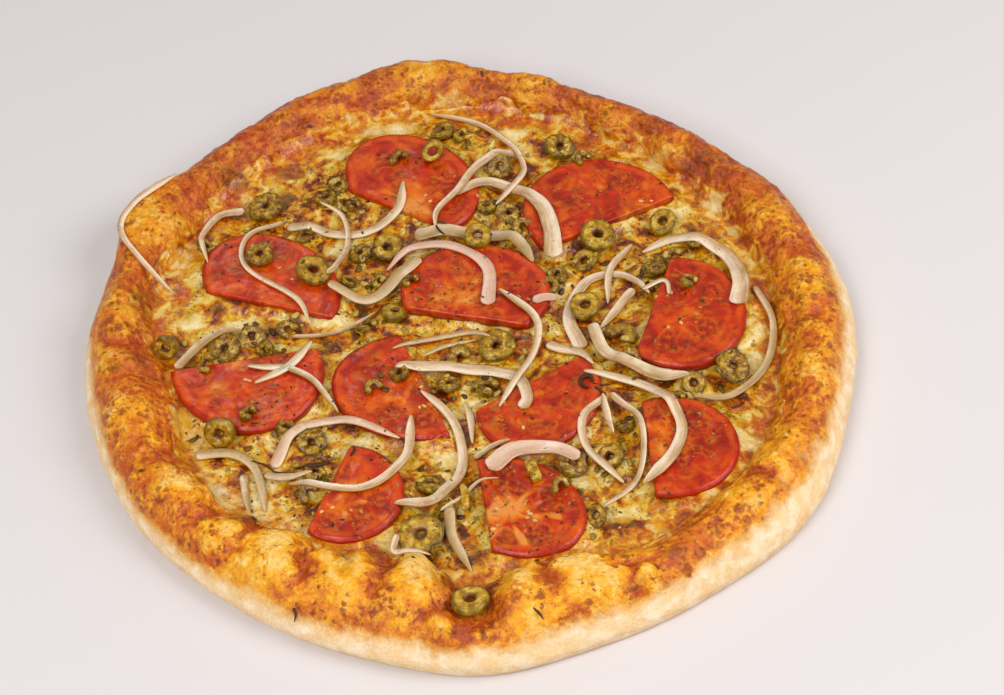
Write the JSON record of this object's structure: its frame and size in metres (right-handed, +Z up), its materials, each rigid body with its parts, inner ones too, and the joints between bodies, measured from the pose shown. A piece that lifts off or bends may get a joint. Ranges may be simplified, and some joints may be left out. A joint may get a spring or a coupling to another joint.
{
  "type": "pizza",
  "caption": "Whole round pizza with a puffy cheese-baked rim, melted cheese, tomato halves, onion strips and pitted olive rings",
  "frame": {"origin": "middle of the flat underside of the crust, in the plane that the pizza lies on", "axes": "+Z up out of the toppings, +X to the picture's right, +Y away from the camera"},
  "size_m": [0.327, 0.3378, 0.0271],
  "materials": {
    "crust": "baked golden dough, pale and floury underneath",
    "cheese": "melted, oily, with brown blisters",
    "tomato": "wet flesh with a thin skin",
    "onion": "cooked, slightly clear",
    "olive": "moist green olive"
  },
  "bodies": {
    "root": {"crust": "crust", "cheese": "cheese", "tomato_1": "tomato", "tomato_2": "tomato", "tomato_3": "tomato", "tomato_4": "tomato", "tomato_5": "tomato", "tomato_6": "tomato", "tomato_7": "tomato", "tomato_8": "tomato", "tomato_9": "tomato", "tomato_10": "tomato", "tomato_11": "tomato", "onion_1": "onion", "onion_2": "onion", "onion_3": "onion", "onion_4": "onion", "onion_5": "onion", "onion_6": "onion", "onion_7": "onion", "onion_8": "onion", "onion_9": "onion", "onion_10": "onion", "onion_11": "onion", "onion_12": "onion", "onion_13": "onion", "onion_14": "onion", "onion_15": "onion", "onion_16": "onion", "onion_17": "onion", "onion_18": "onion", "onion_19": "onion", "onion_20": "onion", "onion_21": "onion", "onion_22": "onion", "onion_23": "onion", "onion_24": "onion", "onion_25": "onion", "onion_26": "onion", "onion_27": "onion", "onion_28": "onion", "onion_29": "onion", "olive_1": "olive", "olive_2": "olive", "olive_3": "olive", "olive_4": "olive", "olive_5": "olive", "olive_6": "olive", "olive_7": "olive", "olive_8": "olive", "olive_9": "olive", "olive_10": "olive", "olive_11": "olive", "olive_12": "olive", "olive_13": "olive", "olive_14": "olive", "olive_15": "olive", "olive_16": "olive", "olive_17": "olive", "olive_18": "olive"}
  },
  "joints": []
}
